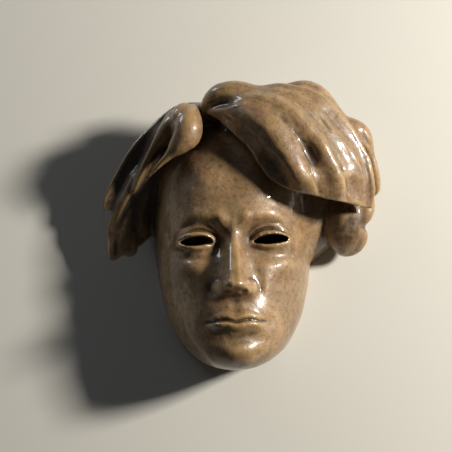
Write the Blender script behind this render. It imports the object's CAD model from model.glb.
import math

import bpy
import numpy as np
from mathutils import Matrix, Vector, kdtree, noise


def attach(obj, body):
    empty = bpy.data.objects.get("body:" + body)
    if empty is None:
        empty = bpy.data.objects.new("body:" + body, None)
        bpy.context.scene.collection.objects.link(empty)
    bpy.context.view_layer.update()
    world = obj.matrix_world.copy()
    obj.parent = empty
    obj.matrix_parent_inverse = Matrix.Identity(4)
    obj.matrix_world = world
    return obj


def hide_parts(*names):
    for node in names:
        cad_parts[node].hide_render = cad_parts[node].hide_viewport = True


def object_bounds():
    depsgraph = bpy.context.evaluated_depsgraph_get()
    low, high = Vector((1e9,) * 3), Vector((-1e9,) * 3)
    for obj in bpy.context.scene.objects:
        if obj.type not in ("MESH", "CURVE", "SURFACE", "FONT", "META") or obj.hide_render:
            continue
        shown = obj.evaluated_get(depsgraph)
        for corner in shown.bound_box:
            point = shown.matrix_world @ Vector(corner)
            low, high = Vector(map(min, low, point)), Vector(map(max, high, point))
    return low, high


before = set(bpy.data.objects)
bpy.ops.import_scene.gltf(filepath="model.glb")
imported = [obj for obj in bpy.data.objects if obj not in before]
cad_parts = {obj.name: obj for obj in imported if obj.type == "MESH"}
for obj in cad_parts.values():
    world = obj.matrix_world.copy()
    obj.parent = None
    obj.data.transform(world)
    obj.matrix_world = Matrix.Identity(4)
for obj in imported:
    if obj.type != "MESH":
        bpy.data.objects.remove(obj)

CAD_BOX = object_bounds()
MM = 0.001

# Driving sizes of the mask, in millimetres: across is from the middle of the face, up from the chin,
# deep from the back rim
WALL = 7.0
HEAD_HEIGHT = 232.0
CHEEK = 70.0
FACE_DEPTH = 80.0
CHIN = (-4.5, -124.0)
TILT = math.radians(1.5)
MIDDLE = 115.0
ROUNDNESS = 2 / 2.25
EYE = {"across": 31.5, "up": 108.0, "half_width": 15.5, "above": 4.6, "below": 3.8, "slope": 0.06}
LID = {"reach": 18.0, "height": 12.5, "floor": FACE_DEPTH - 12, "soft": 2.2}
MOUTH = {"up": 40.0, "half_width": 25.0}
NOSE = {"root": 118.0, "base": 68.0, "bridge": 1.0, "height": 23.0, "wing": 12.5}
NOSTRIL = {"across": 6.6, "up": 61.5, "deep": FACE_DEPTH + 17, "reach": (3.6, 5.0, 4.4), "lean": -0.5}
SHIFT = (0.85, -0.88)               # from the head's own places to the middle of the CAD box
CLAY_STEP = 1.3                     # spacing of the surface while the clay is built up
SKIN_STEP = 1.4                     # and of the finished skin
HOLLOW_REACH = 3.6                  # skin this near a cutter's skin belongs to the hollow
LID_SQUASH = 5.5                    # how much less the ball of the lids reaches up than across
SLIT_DROP = 0.5                     # the eye slits' middles lie this far below the eyes'
SLIT_RIM = 2.5                      # width of clay round the eye slits that is rubbed smooth
SLIT_ROUNDS = 4                     # and how many times
FACE_LOW = 20.0                     # the slits' clay all lies higher above the rim than this
FINE_ROUNDS = 6                     # rounds of averaging that show up narrow hollows
WIDE_ROUNDS = 90                    # and broad ones
BOX_ROOM = 0.05                     # the finished mask stays this far inside the CAD box

PROFILE = np.array([
    (0.043, 0), (0.013, 0.37), (0.004, 0.70), (0.034, 0.925), (0.138, 0.99), (0.267, 1),
    (0.474, 1.025), (0.647, 1.05), (0.797, 0.95), (0.914, 0.675), (0.983, 0.325), (1, 0),
]) * (HEAD_HEIGHT, FACE_DEPTH)
OUTLINE = np.array([
    (0.043, 0), (0.047, 0.357), (0.086, 0.614), (0.198, 0.829), (0.328, 0.943), (0.474, 1),
    (0.629, 1.03), (0.776, 0.971), (0.897, 0.757), (0.974, 0.414), (1, 0),
]) * (HEAD_HEIGHT, CHEEK)


# Small helpers
def spline(points, share):
    """Smooth curve through points, at shares 0 to 1 of its length."""
    points = np.asarray(points, float)
    points = np.vstack([2 * points[0] - points[1], points, 2 * points[-1] - points[-2]])
    spans = len(points) - 3
    place = np.clip(np.asarray(share, float), 0, 1) * spans
    first = np.minimum(place.astype(int), spans - 1)
    t = (place - first)[..., None]
    a, b, c, d = (points[first + step] for step in range(4))
    return 0.5 * (2 * b + (c - a) * t + (2 * a - 5 * b + 4 * c - d) * t**2 + (3 * b - a - 3 * c + d) * t**3)


def along(values, share):
    """A size that changes smoothly along a piece."""
    return spline(np.asarray(values, float)[:, None], share)[..., 0]


def bump(distance, spread):
    return np.exp(-0.5 * (distance / spread) ** 2)


def rise(low, high, value):
    t = np.clip((value - low) / (high - low), 0, 1)
    return t * t * (3 - 2 * t)


def mix(first, second, share):
    return first + (second - first) * share


def unit(vectors):
    return vectors / np.maximum(np.linalg.norm(vectors, axis=-1, keepdims=True), 1e-12)


def place(across, up, deep):
    """Where a place of the face lies: across from its middle, up from the chin, deep from the rim."""
    cos, sin = math.cos(TILT), math.sin(TILT)
    return np.stack([CHIN[0] + across * cos - up * sin, CHIN[1] + across * sin + up * cos, deep], -1)


# The face: each function gives the height in mm of one of its forms
def brow(x, up):
    line = 123 + 3 * np.sin(np.clip((x - 8) / 40, 0, 1) * np.pi) - 3 * rise(30, 50, x)
    ridge = 5.5 * bump(up - line, 6.5) * rise(2, 12, x) * (1 - rise(40, 58, x))
    forehead = 2 * bump(x - 24, 15) * bump(up - 156, 14) - 2 * bump(x - 62, 9) * bump(up - 132, 20)
    return ridge + forehead + 3 * bump(x, 9) * bump(up - 125, 9)


def sockets(x, up):
    bowl = -12 * bump(x - 32, 15) * bump(up - 109, 9.5)
    return bowl - 6.5 * bump(x - 17, 7) * bump(up - 112, 8)


def cheeks(x, up):
    bone = 5.5 * bump(x - 44, 13) * bump(up - 88, 9)
    hollow = -4.5 * bump(x - 45, 11) * bump(up - 52, 17)
    return bone + hollow + 2 * bump(x - 27, 9) * bump(up - 72, 10)


def nose(x, up):
    down = np.clip((NOSE["root"] - up) / (NOSE["root"] - NOSE["base"]), 0, 1)
    height = NOSE["bridge"] + NOSE["height"] * down**1.15
    flank = 1 - rise(2 + 1.2 * down, 8.5 + 6.5 * down, x)
    under = rise(58.5, 67.5, up + 0.1 * x)
    ridge = height * flank * under * (1 - rise(116, 130, up))
    wing = 9 * np.sqrt(np.clip(1 - ((x - NOSE["wing"]) / 6.5) ** 2 - ((up - 67) / 7) ** 2, 0, 1))
    tip = 3 * bump(x, 6) * bump(up - 70, 6)
    return ridge + wing + tip - 2 * bump(x - 20.5, 2.2) * bump(up - 68, 6)


def mouth_line(x):
    return MOUTH["up"] - 1.2 * bump(x, 6) + 1.2 * bump(x - 9, 5) - 0.6 * rise(16, 26, x)


def mouth(x, up):
    width = MOUTH["half_width"]
    line = mouth_line(x)
    fade = 1 - rise(width - 8, width + 2, x)
    reach = np.clip(1 - (x / (width + 1)) ** 2, 0, 1)
    upper = np.clip((up - line) / np.maximum(7 * reach - 1.4 * bump(x, 2.5), 0.5), 0, 1)
    lower = np.clip((line - up) / (10 * np.sqrt(reach) + 0.01), 0, 1)
    lips = (3.4 * np.sin(np.pi * upper**0.75) + 5 * np.sin(np.pi * lower**0.7)) * fade
    parting = -1.2 * bump(up - line, 2.2) * (1 - rise(20, 27, x))
    corner = -2.4 * bump(x - width - 2, 3.2) * bump(up - line, 4)
    groove = -1.8 * bump(x, 2.6) * bump(up - 53, 5.5) + 0.8 * bump(x - 5.2, 2) * bump(up - 52, 5)
    return lips + parting + corner + groove + 8 * bump(x, 24) * bump(up - 43, 19)


def chin(x, up):
    return 7 * bump(x, 14) * bump(up - 13, 9) - 3.8 * bump(x, 15) * bump(up - 26.5, 4.2)


def lids(x, up, depth):
    """The lids stand out of the socket as one ball with a crease above it."""
    side = x - EYE["across"]
    away = (side / LID["reach"]) ** 2 + ((up - EYE["up"]) / (LID["reach"] - LID_SQUASH)) ** 2
    ball = LID["floor"] + LID["height"] * np.sqrt(np.clip(1 - away, 0, 1)) - 30 * np.clip(away - 1, 0, 3)
    ball = ball - 0.1 * side
    share = np.clip(0.5 + (ball - depth) / (2 * LID["soft"]), 0, 1)
    return mix(depth, ball, share) + LID["soft"] * share * (1 - share)


def slit_gap(across, up):
    """How far a place of the face is outside the outline of the nearest eye slit, below 0 inside it."""
    x = np.abs(across) - EYE["across"]
    x = x * np.sign(across)
    rest = up - EYE["up"] + SLIT_DROP - EYE["slope"] * x
    tall = np.where(rest > 0, EYE["above"], EYE["below"])
    half = EYE["half_width"]
    edge = tall * np.clip(1 - (x / half) ** 2, 0, 1) ** 0.6
    beyond = np.hypot(np.maximum(np.abs(x) - half, 0), rest)
    return np.where(np.abs(x) < half, np.abs(rest) - edge, beyond)


def face_finish(across, up):
    """Fine forms worked in last: the lids' margins and creases, the lips' parting and edges, the creases
    round the nose wings and the two small swells of its tip."""
    x = np.abs(across)
    side = x - EYE["across"]
    gap = slit_gap(across, up)
    margin = 0.5 * bump(gap - 1.6, 1.0) - 0.35 * bump(gap - 4.2, 1.2)
    crease = EYE["up"] + 9.5 - 0.022 * (side + 1) ** 2
    fold = -1.5 * bump(up - crease, 1.0) + 0.7 * bump(up - crease - 2.6, 1.2)
    lids_cut = margin * (1 - rise(17, 21, np.abs(side))) + fold * (1 - rise(12, 18, np.abs(side)))
    parting = -2.2 * bump(up - mouth_line(x), 0.9) * (1 - rise(21, 27, x))
    reach = np.clip(1 - (x / 26) ** 2, 0, 1)
    upper_edge = mouth_line(x) + 7 * reach - 1.6 * bump(x, 2.6)
    lower_edge = mouth_line(x) - 10 * np.sqrt(reach)
    edges = 0.45 * bump(up - upper_edge, 0.9) + 0.35 * bump(up - lower_edge, 1.1)
    wing_crease = -0.7 * bump(np.hypot((x - 13) / 1.05, up - 67) - 7.6, 1.5)
    wing_crease *= rise(9, 13, x) * rise(60, 66, up)
    tip = 1.0 * bump(x - 5.5, 3.2) * bump(up - 70, 4.5)
    return lids_cut + parting + edges * (1 - rise(17, 23, x)) + wing_crease + tip


def relief(across, up, depth):
    """Height of all the face's forms over the smooth head."""
    x = np.abs(across)
    forms = sum(form(x, up) for form in (brow, sockets, cheeks, nose, mouth, chin))
    return lids(x, up, depth + forms) - depth


def relief_inside(across, up, depth):
    """The same forms one wall further in: the lowest of them within the wall's thickness."""
    lowest = relief(across, up, depth)
    for reach in (0.55, 0.95):
        lift = WALL * (1 - math.sqrt(1 - reach**2))
        for turn in np.arange(8) * math.pi / 4:
            shift = (WALL * reach * math.cos(turn), WALL * reach * math.sin(turn))
            lowest = np.minimum(lowest, relief(across + shift[0], up + shift[1], depth) + lift)
    return lowest


def dome(half_cube):
    """Half a ball from half a cube, x and y from -1 to 1 and z from 0 to 1."""
    x, y, z = half_cube.T
    return np.stack([
        x * np.sqrt(1 - y * y / 2 - z * z / 2 + y * y * z * z / 3),
        y * np.sqrt(1 - x * x / 2 - z * z / 2 + x * x * z * z / 3),
        z * np.sqrt(1 - x * x / 2 - y * y / 2 + x * x * y * y / 3),
    ], -1)


def head_points(ball, inset=0.0, floor=0.0):
    """Points of the head, or of the hollow inset into it, for points of the half ball."""
    flat = ball[:, 2] < 1e-6
    radius = np.maximum(np.linalg.norm(ball, axis=1), 1e-9)
    turn = np.where(flat[:, None], ball / radius[:, None], ball)
    ring = np.maximum(np.sqrt(np.clip(1 - turn[:, 1] ** 2, 0, 1)), 1e-9)
    share = np.arccos(np.clip(-turn[:, 1], -1, 1)) / np.pi
    sine = np.clip(turn[:, 0] / ring, -1, 1)
    cosine = np.sqrt(1 - sine**2)
    front = spline(PROFILE, share)
    side = spline(OUTLINE, share)
    width = np.maximum(side[:, 1] - inset, 0.08 * side[:, 1] + 0.2)
    across = width * np.sign(sine) * np.abs(sine) ** ROUNDNESS
    deep = np.maximum(front[:, 1] - inset, 0.08 * front[:, 1]) * cosine**ROUNDNESS
    up = mix(front[:, 0], side[:, 0], sine**2)
    middle = HEAD_HEIGHT / 2
    up = middle + (up - middle) * (1 - inset / middle)
    forms = relief_inside if inset > 0 else relief
    deep = deep + forms(across, up, deep + inset) * rise(0.25, 0.62, ball[:, 2])
    across = np.where(flat, across * radius, across)
    up = np.where(flat, MIDDLE + (up - MIDDLE) * radius, up)
    return place(across, up, np.where(flat, floor, deep))


# Working the clay
STRAND_GAP = 90                     # keeps the marks of one lock from running on into the next
strands = []                        # places on the hair with their way across and along the locks


def deselect():
    if bpy.context.object and bpy.context.object.mode != "OBJECT":
        bpy.ops.object.mode_set(mode="OBJECT")
    bpy.ops.object.select_all(action="DESELECT")


def pick(piece):
    deselect()
    piece.select_set(True)
    bpy.context.view_layer.objects.active = piece


def points_of(piece):
    flat = np.empty(len(piece.data.vertices) * 3)
    piece.data.vertices.foreach_get("co", flat)
    return flat.reshape(-1, 3) / MM


def normals_of(piece):
    flat = np.empty(len(piece.data.vertices) * 3)
    piece.data.vertices.foreach_get("normal", flat)
    return flat.reshape(-1, 3)


def put_points(piece, points):
    piece.data.vertices.foreach_set("co", (np.asarray(points) * MM).ravel())
    piece.data.update()


def weld(piece):
    """Merges doubles, closes open ends and turns the faces out."""
    pick(piece)
    bpy.ops.object.mode_set(mode="EDIT")
    bpy.ops.mesh.select_mode(type="VERT")
    bpy.ops.mesh.select_all(action="SELECT")
    bpy.ops.mesh.remove_doubles(threshold=1e-6)
    bpy.ops.mesh.select_all(action="DESELECT")
    bpy.ops.mesh.select_non_manifold()
    if piece.data.total_vert_sel:
        bpy.ops.mesh.fill_holes(sides=0)
    bpy.ops.mesh.select_all(action="SELECT")
    bpy.ops.mesh.normals_make_consistent(inside=False)
    bpy.ops.object.mode_set(mode="OBJECT")


def block(name, cuts, rule):
    """A cube of clay, cut finely and pressed into shape by a rule for its points."""
    deselect()
    bpy.ops.mesh.primitive_cube_add(size=2)
    piece = bpy.context.object
    piece.name = name
    bpy.ops.object.mode_set(mode="EDIT")
    bpy.ops.mesh.subdivide(number_cuts=cuts)
    bpy.ops.object.mode_set(mode="OBJECT")
    half = points_of(piece) * MM
    half[:, 2] = (half[:, 2] + 1) / 2
    put_points(piece, rule(half))
    weld(piece)
    return piece


def wrap(name, rings):
    """A closed piece whose skin runs through rings of points."""
    count, sides = rings.shape[:2]
    deselect()
    bpy.ops.mesh.primitive_grid_add(x_subdivisions=sides, y_subdivisions=count - 1, size=2)
    piece = bpy.context.object
    piece.name = name
    flat = points_of(piece) * MM
    column = np.rint((flat[:, 0] + 1) / 2 * sides).astype(int) % sides
    row = np.rint((flat[:, 1] + 1) / 2 * (count - 1)).astype(int)
    put_points(piece, rings[row, column])
    weld(piece)
    return piece


def comb(rings):
    """Keeps how far each place of a lock is across and along it, for the marks that follow the hair."""
    apart = np.linalg.norm(np.diff(rings, axis=1, append=rings[:, :1]), axis=2)
    across = np.cumsum(apart, 1).mean(0)[None] + STRAND_GAP * len(strands) + np.zeros((len(rings), 1))
    forth = np.linalg.norm(np.diff(rings.mean(1), axis=0, prepend=rings.mean(1)[:1]), axis=1)
    forth = np.cumsum(forth)[:, None] + 0 * across
    strands.append(np.concatenate([rings, across[..., None], forth[..., None]], 2).reshape(-1, 5))


def steps(count, ease=0.6):
    """Shares of a length with closer steps at its ends."""
    even = np.linspace(0, 1, count)
    return np.clip(mix(even, (1 - np.cos(np.pi * even)) / 2, ease), 0.002, 0.998)


def filled(share, blunt):
    """How far a piece has filled out at a share of its length: round ends for 2, blunter for more."""
    power = np.where(share < 0.5, *blunt)
    return (1 - np.abs(1 - 2 * share) ** power) ** (1 / power)


def roll(name, route, wide, deep, facing=(0, 0, 1), blunt=(2.5, 2.5)):
    """A roll of clay along a route; wide and deep are its half sizes along the way."""
    share = steps(56)
    middle = spline(route, share)
    ahead = unit(np.gradient(middle, share, axis=0))
    aside = unit(np.cross(ahead, facing))
    outward = np.cross(aside, ahead)
    size = filled(share, blunt)
    turn = np.arange(36) / 36 * 2 * np.pi
    width, depth = along(wide, share) * size, along(deep, share) * size
    rings = middle[:, None] + aside[:, None] * (width[:, None] * np.cos(turn))[..., None]
    rings = rings + outward[:, None] * (depth[:, None] * np.sin(turn))[..., None]
    comb(rings)
    return wrap(name, rings)


def sheet(name, low, high, front, back, bow=0.0, blunt=(3, 4)):
    """A sheet of clay between two edges; front and back are its half thicknesses."""
    share = steps(56, 0.5)
    start, end = spline(low, share), spline(high, share)
    middle, half = (start + end) / 2, (end - start) / 2
    outward = unit(np.cross(half, np.gradient(middle, share, axis=0)))
    outward = outward * np.sign(outward[:, 2:3])
    size = filled(share, blunt)
    turn = np.arange(48) / 48 * 2 * np.pi
    thick = np.where(np.sin(turn) > 0, along(front, share)[:, None], along(back, share)[:, None])
    thick = thick * (size[:, None] * np.sin(turn))
    lift = bow * np.sin(turn) ** 2 * np.sqrt(np.sin(np.pi * share))[:, None]
    rings = middle[:, None] + half[:, None] * (np.cos(turn) * np.sqrt(size)[:, None])[..., None]
    rings = rings + outward[:, None] * (thick + lift)[..., None]
    comb(rings)
    return wrap(name, rings)


# The swept mass of hair: one sheet from the parting to the tips, raised in four lobes
SWEEP_LOW = [(-33, 97, 66), (-20, 87, 78), (-8, 73, 87), (3, 61, 92), (12, 47, 94), (21, 34, 94),
             (35, 24, 91)]
SWEEP_HIGH = [(-33, 106, 60), (-17, 111, 62), (12, 110, 66), (40, 111, 67), (63, 105, 66), (81, 89, 63),
              (97, 70, 59), (108, 46, 54), (113, 14, 49)]
SWEEP_SAG = np.array((0, -2, 8))
SWEEP_ARCH = (3, 18, 20, 15, 8)
SWEEP_UNDER = (6, 11, 12, 10, 7)
LOBES = [
    {"from": (0, 0), "height": (0, 2, 7, 9, 9), "skew": 0.75, "reach": 1},
    {"from": (0.42, 0.43), "height": (0, 0, 3, 7.5, 8), "skew": 1, "reach": 1.5},
    {"from": (0.64, 0.69), "height": (0, 0, 1, 2, 2.5), "skew": 1, "reach": 1.5},
    {"from": (0.83, 0.93), "height": (0, 0, 1, 3, 3.5), "skew": 1, "reach": 2},
]


def swept_sheet(share, across):
    low, high = spline(SWEEP_LOW, share), spline(SWEEP_HIGH, share)
    sag = (4 * across * (1 - across) * share**2)[..., None] * SWEEP_SAG
    return mix(low, high, across[..., None]) + sag


def swept_frame(share, across):
    """Place, way along the hair and way out of the sheet."""
    step = 0.001
    at = swept_sheet(share, across)
    after = swept_sheet(np.minimum(share + step, 1), across)
    ahead = after - swept_sheet(np.maximum(share - step, 0), across)
    outward = unit(np.cross(ahead, swept_sheet(share, across + step) - at))
    return at, unit(ahead), outward * np.sign(outward[..., 2:3])


def crown_side(across):
    """Share of the arch's height across the mass: none at its low edge, most of it at the crown."""
    bend = np.clip(4 * across * (1 - across), 0, 1) ** 0.8
    return np.where(across < 0.5, bend, mix(1, 0.75, rise(0.5, 1, across)))


def swept_mass():
    """The swept mass in rings of points: the tops of its four lobes and then its under side."""
    share = np.linspace(0, 1, 110)
    share = ((0.75 * share + 0.5 * (1 - np.cos(np.pi * share)) / 2) / 1.25)[:, None]
    end = (0.25 + 0.75 * rise(0, 0.1, share)) * np.sqrt(1 - 0.9 * rise(0.86, 1, share) ** 2)
    arch = along(SWEEP_ARCH, share)
    tops = []
    position = np.linspace(0, 1, 22, endpoint=False)[None]
    for index, lobe in enumerate(LOBES):
        start = mix(*lobe["from"], share)
        stop = mix(*LOBES[index + 1]["from"], share) if index + 1 < len(LOBES) else np.ones_like(share)
        across = mix(start, stop, position)
        round_top = 1 - np.abs(2 * position ** lobe["skew"] - 1) ** 2.2
        soft_top = (1 - np.cos(2 * np.pi * position ** lobe["skew"])) / 2
        round_top = mix(round_top, soft_top, 0.35)
        lip = (3 + 5 * rise(0.1, 0.6, share)) * bump(across - 0.045 - 0.035 * share, 0.03 + 0.03 * share)
        height = arch * crown_side(across) + along(lobe["height"], share) * round_top
        height = (height - lip * rise(0.05, 0.25, share)) * end
        at, ahead, outward = swept_frame(share + 0 * across, across)
        reach = lobe["reach"] * (round_top - 0.25) * rise(0.75, 1, share)
        tops.append(at + outward * height[..., None] + ahead * reach[..., None])
    across = np.linspace(1, 0, 40)[None] + 0 * share
    bend = np.clip(4 * across * (1 - across), 0, 1)
    depth = along(SWEEP_UNDER, share) * bend**0.6 - 0.8 * arch * bend**0.8 + 3
    at, ahead, outward = swept_frame(share + 0 * across, across)
    under = at - outward * (depth * end)[..., None] - ahead * rise(0.75, 1, share)[..., None]
    rings = np.concatenate([*tops, under[:, 1:-1]], 1)
    comb(rings)
    return wrap("swept_mass", rings)


SCALP_MIDDLE = np.array((10, 40, 0))
SCALP_REACH = np.array((91, 81, 58))
SCALP_WALL = np.array((9, 9, 16))
LEFT_RIM = [(-38, 109, 54), (-58, 104, 49), (-74, 92.5, 44), (-96, 70, 40), (-113, 40, 36.5), (-121, 22, 34)]
UNDERCUT = 4.0                      # how far the rough clay reaches below the rim before it is cut flat


def hair():
    """Every pat, roll and sheet of the hair."""
    return [
        swept_mass(),
        roll("parting_bulge", [(-34, 102, 65), (-22, 107, 70), (-8, 108, 71), (12, 106, 70), (36, 105, 68),
                               (60, 101, 65)],
             (9, 13, 14.5, 12.5, 12, 8), (9, 14, 16, 15, 14, 9), (0, 0.3, 1)),
        roll("crown", [(-12, 103, 44), (18, 106, 50), (46, 111.5, 56), (60, 109, 58), (72, 98, 57),
                       (84, 86, 54), (99, 78, 51), (107, 60, 45), (111, 38, 38)],
             (9, 11, 13.5, 13.5, 12, 10.5, 13.5, 12, 9), (15, 18, 21, 21, 19, 17, 18, 15, 11),
             (0.15, 0.25, 1)),
        roll("right_band", [(106, 76, 52), (111, 62, 50), (114.5, 49, 46), (117.5, 36, 40), (116, 28, 35)],
             (4, 5, 5, 4.5, 3), (5, 6, 6, 5, 3), (0.6, 0, 1)),
        roll("parting", [(-62, 88, 42), (-40, 98, 48), (-16, 102, 50)], (11, 11, 11), (18, 17, 17)),
        sheet("core", [(-12, 92, 58), (6, 74, 66), (24, 54, 70), (48, 40, 66), (72, 34, 56)],
              [(-16, 108, 50), (20, 113, 55), (62, 106, 57), (90, 80, 52), (107, 46, 40)],
              (6, 14, 8), (14, 30, 20)),
        roll("right_flank", [(92, 72, 42), (102, 52, 40), (106, 34, 34)], (12, 12, 9), (14, 14, 10)),
        roll("tuft_body", [(91, 38, 27), (91, 17, 29), (91, -3, 26), (90, -21, 16)], (14, 19, 18, 12),
             (12, 17, 15, 9)),
        roll("tuft_upper", [(112, 32, 34), (110, 18, 34), (104, 8, 34), (92, 2, 32)], (7, 7.5, 7, 4),
             (8, 8, 7, 4)),
        roll("tuft_lower", [(99, 9, 27), (103, -4, 24), (98, -14, 18), (86, -20, 15)], (7, 9, 8, 5),
             (8, 10, 8, 5)),
        roll("tuft_root", [(70, 96, 14), (88, 66, 13), (94, 36, 12), (88, 6, 11), (84, -12, 9)], (14, 16, 11),
             (14.5, 14, 10)),
        roll("pat", [(-44, 104, 59), (-44, 94, 69), (-45, 84, 76), (-47, 74, 79), (-53, 66, 78),
                     (-62, 58, 73), (-73, 48, 66), (-86, 34, 57)],
             (7, 10, 12, 12.5, 9.5, 5, 2.6, 1.8), (8, 12, 14, 13, 10, 6, 3.5, 2.5), (-0.2, -0.35, 1)),
        roll("brushed_back", [(-46, 101, 62), (-50, 95, 71), (-53, 89, 74), (-56, 83, 72), (-60, 76, 66)],
             (8, 9, 8, 5.5, 2), (8, 10, 10, 8, 3), (-0.2, 0, 1)),
        roll("fold", [(-47, 99, 60), (-56, 89, 68), (-69, 74, 63), (-80, 58, 56), (-89, 41, 48),
                      (-95, 28, 44)],
             (10, 11.5, 7, 4.5, 4, 3), (9, 11, 9, 6, 5, 3), (-0.4, 0, 1)),
        roll("hanging_lock", [(-78, 68, 46), (-97, 36, 40), (-113, 6, 32), (-118, -8, 27)], (6, 5.5, 4.5, 3),
             (6, 5, 4, 3), (-0.4, 0, 1)),
        roll("curl_outer", [(-90, 48, 35), (-108, 8, 30), (-114, -19, 22), (-111, -26, 19)], (6, 6, 5.5, 4),
             (6, 6, 5.5, 4), (-0.5, 0, 1)),
        roll("curl_inner", [(-86, 44, 36), (-100, 8, 33), (-106, -14, 25), (-109, -24, 20)], (6, 6, 6, 4),
             (6, 6.5, 6, 4), (-0.3, 0, 1)),
        roll("curl_end", [(-93, 4, 24), (-97, -8, 24), (-97, -17, 20), (-103, -22, 17)], (6, 5, 4), (7, 6, 5),
             (-0.3, 0, 1)),
        roll("left_root", [(-46, 98, 30), (-68, 78, 30), (-86, 26, 22), (-90, 4, 16), (-96, -14, 11)],
             (16, 16, 13, 8), (28, 22, 18, 9), (-0.3, 0, 1)),
        sheet("outer_sheet", LEFT_RIM,
              [(-42, 101, 52), (-64, 84, 54), (-80, 59, 49), (-94, 37, 43), (-114, 13, 34)],
              (4, 4, 3), (4, 4, 3), bow=-7, blunt=(3, 8)),
        roll("hem", [*LEFT_RIM, (-119.5, 15, 33)], (4, 3.2, 2.6, 2.4), (4, 3.4, 3, 2.4), (-0.3, 0.3, 1)),
    ]


def scalp(name, inset, floor, cuts):
    """The clay under the hair, or its own hollow, smaller by the inset."""
    def rule(half):
        at = dome(half) * (SCALP_REACH - inset) + SCALP_MIDDLE
        at[:, 2] = np.where(half[:, 2] < 1e-6, floor, at[:, 2])
        return at
    return block(name, cuts, rule)


def join(pieces):
    deselect()
    for piece in pieces:
        piece.select_set(True)
    bpy.context.view_layer.objects.active = pieces[0]
    bpy.ops.object.join()
    return bpy.context.object


def apply_modifier(piece, kind, **settings):
    pick(piece)
    modifier = piece.modifiers.new(kind.lower(), kind)
    for name, value in settings.items():
        setattr(modifier, name, value)
    bpy.ops.object.modifier_apply(modifier=modifier.name)


def cut_away(piece, cutter):
    """Takes the cutter's shape out of the piece."""
    apply_modifier(piece, "BOOLEAN", object=cutter, operation="DIFFERENCE", solver="EXACT")
    bpy.data.objects.remove(cutter)


def eye_slit(side):
    """A prism with the almond outline of one eye slit."""
    turn = np.arange(40) / 40 * 2 * np.pi
    sine = np.sin(turn)
    x = EYE["half_width"] * np.cos(turn)
    tall = np.where(sine > 0, EYE["above"], EYE["below"])
    up = EYE["up"] - SLIT_DROP + tall * np.sign(sine) * np.abs(sine) ** 1.2 + EYE["slope"] * x
    rings = np.stack([place(side * (EYE["across"] + x), up, 0 * x + deep) for deep in (-10.0, 140.0)])
    return wrap("eye_slit", rings)


def nostril(side):
    """An egg-shaped cutter under the nose."""
    deselect()
    at = place(np.array(side * NOSTRIL["across"]), np.array(NOSTRIL["up"]), np.array(NOSTRIL["deep"]))
    bpy.ops.mesh.primitive_uv_sphere_add(segments=24, ring_count=16, radius=1)
    piece = bpy.context.object
    across, up, deep = (points_of(piece) * MM * NOSTRIL["reach"]).T
    cos, sin = math.cos(NOSTRIL["lean"]), math.sin(NOSTRIL["lean"])
    ball = np.stack([across, up * cos - deep * sin, up * sin + deep * cos], -1)
    put_points(piece, ball + at)
    return piece


def edges_of(piece):
    flat = np.empty(len(piece.data.edges) * 2, np.int32)
    piece.data.edges.foreach_get("vertices", flat)
    return flat.reshape(-1, 2)


def spread(values, edges, rounds):
    """Values at the points, averaged with their neighbours' again and again."""
    near, far = np.concatenate([edges, edges[:, ::-1]]).T
    count = np.maximum(np.bincount(near, minlength=len(values)), 1)[:, None]
    for _ in range(rounds):
        total = [np.bincount(near, column[far], len(values)) for column in values.T]
        values = (values + np.stack(total, -1) / count) / 2
    return values


def lumps(points, size, seed):
    """Soft random relief from -1 to 1 with lumps of a size in mm."""
    offset = Vector((seed, 2.7 * seed, -1.3 * seed))
    return np.array([noise.noise(Vector(point) + offset) for point in points / size])


def stroke(points, normals, route, depth, width):
    """Height that one stroke of a tool along a route leaves at each point of the clay."""
    height = np.zeros(len(points))
    share = np.linspace(0, 1, 60)
    line = spline(np.array(route, float), share)
    low, high = line.min(0) - 4 * width, line.max(0) + 4 * width
    inside = ((points[:, :2] > low[:2]) & (points[:, :2] < high[:2])).all(1)
    close = np.flatnonzero(inside & (normals[:, 2] > -0.2))
    gaps = points[close, None] - line[None]
    apart = np.hypot(gaps[..., 0], gaps[..., 1])
    nearest = np.argmin(apart, 1)
    rows = np.arange(len(close))
    ends = np.sin(np.pi * share[nearest])
    wide = width * (0.5 + 0.5 * ends)
    height[close] = depth * bump(apart[rows, nearest], wide) * bump(gaps[rows, nearest, 2], 8) * ends
    return height


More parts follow.
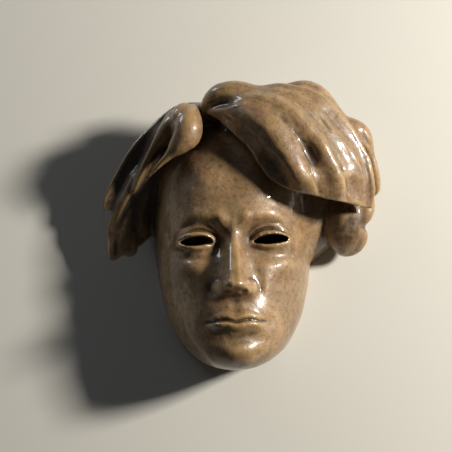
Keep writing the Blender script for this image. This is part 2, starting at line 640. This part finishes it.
# Strokes of the modelling tool on the hair: route, height left (below 0 is cut in) and width, in mm
MASS_STROKES = [
    ([(-32, 101, 73), (-26, 100, 80), (-17, 100, 84), (-8, 100, 88), (1, 100, 90)], -4.2, 3.6),
    ([(-30, 97, 76), (-25, 95, 82), (-17, 94, 88), (-8, 95, 92), (0, 96, 93), (8, 98, 94)], 0.9, 1.3),
    ([(29, 87, 102), (33, 82, 102), (37, 77, 102), (41, 71, 102)], -0.8, 2.0),
    ([(40, 73, 102), (46, 65, 101), (51, 56, 99), (55, 47, 97), (60, 34, 94), (64, 23, 90), (65, 13, 82)],
     -2.2, 2.6),
    ([(49, 67, 102), (56, 54, 100), (63, 40, 98)], -3.0, 3.0),
    ([(63, 92, 88), (67, 86, 88), (70, 81, 88), (75, 73, 88)], -1.4, 1.5),
    ([(49, 105, 78), (61, 98, 80), (74, 87, 80), (84, 77, 80), (91, 68, 80)], -1.5, 2.8),
    ([(68, 74, 93), (74, 60, 91), (79, 51, 88), (84, 41, 84), (88, 28, 78), (88, 16, 68)], -2.5, 2.0),
    ([(76, 61, 90), (82, 52, 88), (87, 42, 84)], 1.0, 1.3),
    ([(88, 65, 79), (93, 56, 75), (98, 48, 72), (102, 42, 69)], 1.6, 1.7),
    ([(92, 39, 81), (97, 28, 74), (101, 18, 65)], -2.4, 5.5),
    ([(87, 47, 85), (86, 37, 82), (88, 26, 76), (91, 18, 65)], 0.9, 1.3),
    ([(104, 55, 71), (109, 45, 68), (111, 34, 63), (111, 22, 52)], 1.1, 1.5),
    ([(102, 82, 71), (106, 74, 69), (111, 66, 64)], -1.4, 1.8),
    ([(94, 81, 72), (103, 68, 67), (110, 59, 62), (114, 49, 57)], -1.1, 1.5),
    ([(111, 55, 60), (113, 41, 64), (115, 30, 57)], -0.9, 1.3),
    ([(15, 56, 100), (22, 45, 98), (30, 36, 97), (40, 29, 96)], -4, 4.8),
    ([(99, 96, 70), (93, 101, 72), (84, 103, 74)], -1.2, 2.5),
]
TUFT_STROKES = [
    ([(90, 8, 45), (94, 4, 44), (98, 0, 42)], -0.8, 3.4),
    ([(80, -9, 36), (90, -10, 36), (98, -8, 34)], -0.9, 2.4),
    ([(114, 3, 33), (109, 1, 33), (103, 0, 35)], -1.2, 1.8),
    ([(84, 18, 44), (86, 8, 44), (84, -2, 41)], 0.7, 3.0),
]
LEFT_STROKES = [
    ([(-64, 68, 72), (-70, 60, 66), (-78, 51, 60)], -3.0, 2.6),
    ([(-62, 92, 60), (-75, 78, 54), (-87, 62, 48), (-97, 46, 43)], -3.0, 4.0),
    ([(-89, 38, 61), (-99, 27, 46), (-107, 13, 39), (-112, 0, 34)], 0.9, 1.0),
    ([(-94, 35, 52), (-103, 20, 43), (-110, 5, 37)], 0.8, 1.0),
    ([(-113, -6, 32), (-115, -18, 28), (-112, -26, 23)], 0.9, 1.2),
    ([(-104, 2, 37), (-102, -4, 36), (-107, -13, 32), (-109, -24, 24)], 1.0, 1.2),
]


def slab():
    """A block under the rim's plane, to cut the clay off flat."""
    deselect()
    bpy.ops.mesh.primitive_cube_add(size=1)
    piece = bpy.context.object
    put_points(piece, points_of(piece) * MM * (400, 400, 40) + (0, 0, -20))
    return piece


def remesh(piece, size, smoothing):
    apply_modifier(piece, "REMESH", mode="VOXEL", voxel_size=size * MM)
    apply_modifier(piece, "SMOOTH", iterations=smoothing, factor=0.5)


hollows = []                        # places on the skin of the hollows


def hollow_out(mask, cutter):
    hollows.append(points_of(cutter))
    cut_away(mask, cutter)


def modelled_mask():
    """The whole mask: its clay built up, hollowed out, pierced and smoothed into one skin."""
    rough = [block("head", 99, lambda half: head_points(dome(half), floor=-UNDERCUT)),
             scalp("scalp", 0, -UNDERCUT, 24), *hair()]
    mask = join(rough)
    mask.name = "glazed_mask"
    remesh(mask, CLAY_STEP, 3)
    cut_away(mask, slab())
    hollow_out(mask, block("hollow", 60, lambda half: head_points(dome(half), inset=WALL, floor=-1.0)))
    hollow_out(mask, scalp("crown_hollow", SCALP_WALL, -1.0, 30))
    for side in (-1, 1):
        cut_away(mask, eye_slit(side))
        cut_away(mask, nostril(side))
    remesh(mask, SKIN_STEP, 2)
    return mask


def nearest_of(known, points):
    """For each point, the index of the nearest known one and how far it is."""
    tree = kdtree.KDTree(len(known))
    for index, point in enumerate(known):
        tree.insert(point, index)
    tree.balance()
    found = [tree.find(point)[1:] for point in points]
    return np.array([item[0] for item in found]), np.array([item[1] for item in found])


def hair_share(points):
    """How surely each point is hair, with its place across and along the lock."""
    known = np.concatenate(strands)
    index, gap = nearest_of(known[:, :3], points)
    return 1 - rise(3, 6, gap), known[index, 3:]


def face_places(points):
    """Across and up of points, measured on the tilted face."""
    cos, sin = math.cos(TILT), math.sin(TILT)
    x, y = points[:, 0] - CHIN[0], points[:, 1] - CHIN[1]
    return x * cos + y * sin, y * cos - x * sin


def clean_slits(points, normals):
    """Brings the ragged walls of the eye slits onto their outline."""
    across, up = face_places(points)
    gap = slit_gap(across, up)
    step = 0.05
    slope = np.stack([slit_gap(across + step, up) - gap, slit_gap(across, up + step) - gap], -1) / step
    slope = slope / np.maximum(np.linalg.norm(slope, axis=1), 0.3)[:, None] ** 2
    close = 1 - rise(0.9, 1.6, np.abs(gap))
    steep = 1 - rise(0.75, 0.95, np.abs(normals[:, 2]))
    wall = close * steep * (points[:, 2] > FACE_LOW)
    points[:, :2] -= slope * (gap * wall)[:, None]


def fill_joins(points, normals, links):
    """Smooths clay into the joins, as a wet thumb does."""
    for rounds, share in ((30, 0.75), (8, 0.5)):
        soft = spread(points, links, rounds)
        lift = ((soft - points) * normals).sum(1)
        points = points + normals * (np.maximum(lift, 0) * share)[:, None]
    return points


def tool_marks(points, normals):
    """Heights of the strokes, dents and brushed lines on the outside of the clay."""
    height = np.sum([stroke(points, normals, *one) for one in MASS_STROKES + TUFT_STROKES + LEFT_STROKES], 0)
    share, combed = hair_share(points)
    flowing = np.concatenate([combed / (3.4, 46), 0 * combed[:, :1]], 1)
    height += 0.22 * share * lumps(flowing, 1, 21)
    height += 0.55 * lumps(points, 13, 3) + 0.2 * lumps(points, 5.5, 8)
    return height * rise(0.5, 4, points[:, 2])


def dipped(points, share):
    """Share of the second, darker dip of glaze: over the tuft and the loose hair at the left."""
    tuft = bump(np.hypot((points[:, 0] - 88) / 24, (points[:, 1] - 2) / 24), 0.6) * rise(60, 48, points[:, 2])
    loose = rise(-50, -82, points[:, 0]) * rise(84, 60, points[:, 2]) * rise(-14, 14, points[:, 1])
    return np.maximum(tuft, loose) * share


def thin_the_back(mask, inside):
    """Fewer faces in the hollows and where the clay faces back, except close to the rim."""
    pick(mask)
    bpy.ops.object.mode_set(mode="EDIT")
    bpy.ops.mesh.select_mode(type="FACE")
    bpy.ops.mesh.select_all(action="DESELECT")
    bpy.ops.object.mode_set(mode="OBJECT")
    normals = np.empty(len(mask.data.polygons) * 3)
    mask.data.polygons.foreach_get("normal", normals)
    first = np.empty(len(mask.data.polygons), np.int32)
    mask.data.polygons.foreach_get("loop_start", first)
    corner = np.empty(len(mask.data.loops), np.int32)
    mask.data.loops.foreach_get("vertex_index", corner)
    above_rim = points_of(mask)[corner[first], 2] > 3
    hidden = ((normals.reshape(-1, 3)[:, 2] < -0.4) | inside[corner[first]]) & above_rim
    mask.data.polygons.foreach_set("select", hidden)
    bpy.ops.object.mode_set(mode="EDIT")
    bpy.ops.mesh.decimate(ratio=0.25)
    bpy.ops.mesh.select_all(action="SELECT")
    bpy.ops.mesh.normals_make_consistent(inside=False)
    bpy.ops.object.mode_set(mode="OBJECT")


def attribute(piece, name, kind, values):
    made = piece.data.attributes.new(name, kind, "POINT")
    field = "value" if kind == "FLOAT" else "vector"
    made.data.foreach_set(field, np.ascontiguousarray(values, np.float32).ravel())


mask = modelled_mask()
at, outward, links = points_of(mask), normals_of(mask), edges_of(mask)
inside = nearest_of(np.concatenate(hollows), at)[1] < HOLLOW_REACH
at = np.where(inside[:, None], at, fill_joins(at, outward, links))
put_points(mask, at)
outward = normals_of(mask)
height = tool_marks(at, outward) * np.where(inside, 0.4, rise(-0.6, 0, outward[:, 2]))
on_face = ~inside & (outward[:, 2] > 0) & (hair_share(at)[0] < 0.5)
height += np.where(on_face, face_finish(*face_places(at)), 0)
at = at + outward * height[:, None]
near_slit = bump(slit_gap(*face_places(at)), SLIT_RIM) * (at[:, 2] > FACE_LOW)
at = mix(at, spread(at, links, SLIT_ROUNDS), near_slit[:, None])
clean_slits(at, outward)
at[:, 2] = np.maximum(at[:, 2], 0)
put_points(mask, at)
thin_the_back(mask, inside)
at, outward, links = points_of(mask), normals_of(mask), edges_of(mask)
fine = ((spread(at, links, FINE_ROUNDS) - at) * outward).sum(1)
wide = ((spread(at, links, WIDE_ROUNDS) - at) * outward).sum(1)
share, combed = hair_share(at)
attribute(mask, "fine_hollow", "FLOAT", fine)
attribute(mask, "wide_hollow", "FLOAT", wide)
attribute(mask, "hair", "FLOAT", share)
attribute(mask, "second_dip", "FLOAT", dipped(at, share))
attribute(mask, "combed", "FLOAT_VECTOR", np.concatenate([combed, 0 * combed[:, :1]], 1))
at = at + (*SHIFT, 0)
reach = np.array(CAD_BOX[1]) / MM - BOX_ROOM
at = at * np.minimum(1, reach / np.abs(at).max(0))
put_points(mask, at)
pick(mask)
bpy.ops.object.shade_smooth()
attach(mask, "root")
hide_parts("face_mask")


def hex_colour(text):
    """Linear colour of an sRGB hex value."""
    parts = [int(text[index:index + 2], 16) / 255 for index in (1, 3, 5)]
    linear = [part / 12.92 if part <= 0.04045 else ((part + 0.055) / 1.055) ** 2.4 for part in parts]
    return (*linear, 1.0)


def add(tree, kind, inputs, out=0, **settings):
    """Adds a node with its settings, fills or links its inputs and gives one of its outputs."""
    new = tree.nodes.new(kind)
    for name, value in settings.items():
        setattr(new, name, value)
    for socket, value in inputs.items():
        if isinstance(value, bpy.types.NodeSocket):
            tree.links.new(value, new.inputs[socket])
        else:
            new.inputs[socket].default_value = value
    return new.outputs[out]


GLAZE_BODY = "#826747"
GLAZE_STREAK = "#5a4630"            # in the brushed lines of the hair
# Clouds in the glaze: size in mm, seed, noise from and to, strength and colour
GLAZE_CLOUDS = [
    (42, 0.0, 0.38, 0.66, 0.9, "#9a7d58"),      # thinner and warmer
    (30, 7.3, 0.50, 0.68, 0.6, "#77594a"),      # fired to a purple brown
    (23, 4.4, 0.48, 0.70, 0.5, "#6d6444"),      # olive, where the iron ran thin
    (8, 3.1, 0.48, 0.72, 0.5, "#5e4527"),       # mottles
    (3.2, 6.2, 0.50, 0.68, 0.5, "#4b361f"),     # small dark stains
    (1.1, 9.9, 0.62, 0.72, 0.55, "#2e2014"),    # iron specks
    (0.9, 5.5, 0.64, 0.74, 0.35, "#c9a26a"),    # pale specks
]
# Where the glaze pooled or ran off: attribute, mm of hollow from and to, strength and colour
GLAZE_POOLS = [
    ("second_dip", 0.0, 1.0, 0.85, "#3a2c1e"),
    ("fine_hollow", 0.02, 0.28, 0.8, "#2c1c10"),
    ("wide_hollow", 0.3, 3.2, 0.7, "#33210f"),
    ("fine_hollow", -0.03, -0.22, 0.28, "#b9965f"),
]


def stoneware_glaze():
    """Iron-bearing gloss glaze on stoneware: honey brown where thin, dark umber where it pooled, specked
    with iron, and combed along the hair. The gloss breaks up over small pits and ripples."""
    material = bpy.data.materials.new("stoneware_iron_glaze")
    material.use_nodes = True
    tree = material.node_tree
    shader = tree.nodes["Principled BSDF"]
    place_on = add(tree, "ShaderNodeTexCoord", {}, "Object")
    combed = add(tree, "ShaderNodeAttribute", {}, "Vector", attribute_name="combed")
    hair = add(tree, "ShaderNodeAttribute", {}, "Fac", attribute_name="hair")

    colour = hex_colour(GLAZE_BODY)
    for size, seed, low, high, strength, tint in GLAZE_CLOUDS:
        moved = add(tree, "ShaderNodeMapping", {"Vector": place_on, "Location": (seed, 0.7 * seed, -seed),
                                                "Scale": (1000 / size,) * 3})
        cloud = add(tree, "ShaderNodeTexNoise", {"Vector": moved, "Scale": 1.0, "Detail": 3, "Roughness": 0.6,
                                                 "Distortion": 0.5})
        share = add(tree, "ShaderNodeMapRange", {"Value": cloud, "From Min": low, "From Max": high,
                                                 "To Max": strength}, interpolation_type="SMOOTHSTEP")
        colour = add(tree, "ShaderNodeMix", {0: share, 6: colour, 7: hex_colour(tint)}, 2, data_type="RGBA")

    drawn = add(tree, "ShaderNodeMapping", {"Vector": combed, "Scale": (1 / 1.5, 1 / 26, 1)})
    line = add(tree, "ShaderNodeTexNoise", {"Vector": drawn, "Scale": 1.0, "Detail": 3, "Roughness": 0.6})
    streak = add(tree, "ShaderNodeMapRange", {"Value": line, "From Min": 0.45, "From Max": 0.7,
                                              "To Max": 0.35}, interpolation_type="SMOOTHSTEP")
    on_hair = add(tree, "ShaderNodeMath", {0: streak, 1: hair}, operation="MULTIPLY")
    colour = add(tree, "ShaderNodeMix", {0: on_hair, 6: colour, 7: hex_colour(GLAZE_STREAK)}, 2,
                 data_type="RGBA")
    for name, low, high, strength, tint in GLAZE_POOLS:
        depth = add(tree, "ShaderNodeAttribute", {}, "Fac", attribute_name=name)
        share = add(tree, "ShaderNodeMapRange", {"Value": depth, "From Min": low, "From Max": high,
                                                 "To Max": strength}, interpolation_type="SMOOTHSTEP")
        colour = add(tree, "ShaderNodeMix", {0: share, 6: colour, 7: hex_colour(tint)}, 2, data_type="RGBA")
    tree.links.new(colour, shader.inputs["Base Color"])

    gloss = add(tree, "ShaderNodeMapping", {"Vector": place_on, "Scale": (1000 / 11,) * 3})
    gloss = add(tree, "ShaderNodeTexNoise", {"Vector": gloss, "Scale": 1.0, "Detail": 4, "Roughness": 0.65})
    rough = add(tree, "ShaderNodeMapRange", {"Value": gloss, "From Min": 0.3, "From Max": 0.7, "To Min": 0.36,
                                             "To Max": 0.6})
    tree.links.new(rough, shader.inputs["Roughness"])
    shader.inputs["IOR"].default_value = 1.52
    shader.inputs["Coat Weight"].default_value = 0.6
    shader.inputs["Coat Roughness"].default_value = 0.08

    # Orange peel and pits 2.4 and 0.9 mm apart, and the brushed lines, as heights
    height = add(tree, "ShaderNodeMath", {0: line, 1: hair}, operation="MULTIPLY")
    for size, share in ((2.4, 1.0), (0.9, 0.5)):
        ripple = add(tree, "ShaderNodeMapping", {"Vector": place_on, "Scale": (1000 / size,) * 3})
        ripple = add(tree, "ShaderNodeTexNoise", {"Vector": ripple, "Scale": 1.0, "Detail": 2})
        height = add(tree, "ShaderNodeMath", {0: ripple, 1: share, 2: height}, operation="MULTIPLY_ADD")
    bumped = add(tree, "ShaderNodeBump", {"Height": height, "Distance": 0.00035, "Strength": 0.7})
    tree.links.new(bumped, shader.inputs["Normal"])
    return material


mask.data.materials.clear()
mask.data.materials.append(stoneware_glaze())

# Floor, lights and camera
bpy.ops.mesh.primitive_plane_add(size=8)
floor = bpy.context.object
floor.name = "floor"
# Matt plaster: an even, pale ground that shows only the shadow
plaster = bpy.data.materials.new("floor_plaster")
plaster.use_nodes = True
plaster.node_tree.nodes["Principled BSDF"].inputs["Base Color"].default_value = hex_colour("#c9c8c1")
plaster.node_tree.nodes["Principled BSDF"].inputs["Roughness"].default_value = 0.85
floor.data.materials.append(plaster)


LIT_POINT = Vector((0, 0, 0.04))    # where both lights point: the mask's middle, 40 mm above the rim


def soft_light(name, place_at, power, size, colour):
    """A square soft light; power in watts, size in metres."""
    deselect()
    bpy.ops.object.light_add(type="AREA", location=place_at)
    lamp = bpy.context.object
    lamp.name = name
    lamp.data.energy = power
    lamp.data.size = size
    lamp.data.color = hex_colour(colour)[:3]
    lamp.rotation_euler = (Vector(place_at) - LIT_POINT).to_track_quat("Z", "Y").to_euler()


soft_light("key", (1.25, 0.34, 0.85), 44, 0.22, "#fff8ee")
soft_light("fill", (-0.95, 1.05, 0.2), 5.5, 0.4, "#e8edf4")
world = bpy.data.worlds.new("studio")
bpy.context.scene.world = world
world.use_nodes = True
world.node_tree.nodes["Background"].inputs["Color"].default_value = hex_colour("#eef2f6")
world.node_tree.nodes["Background"].inputs["Strength"].default_value = 0.04

LENS = 85.0
CAMERA_LEAN = math.radians(9)
CAMERA_DISTANCE = 0.918             # gives 0.86 mm a pixel at the target, 50 mm above the rim
TARGET = Vector((-0.0138 + SHIFT[0] * MM, SHIFT[1] * MM, 0.05))
deselect()
bpy.ops.object.camera_add()
camera = bpy.context.object
camera.data.lens = LENS
camera.data.sensor_width = 36
upward = Vector((0, math.cos(CAMERA_LEAN), math.sin(CAMERA_LEAN)))
back = Vector((0, -math.sin(CAMERA_LEAN), math.cos(CAMERA_LEAN)))
turned = Matrix((Vector((1, 0, 0)), upward, back)).transposed().to_4x4()
turned.translation = TARGET + back * CAMERA_DISTANCE
camera.matrix_world = turned
bpy.context.scene.camera = camera
bpy.context.scene.view_settings.view_transform = "Standard"
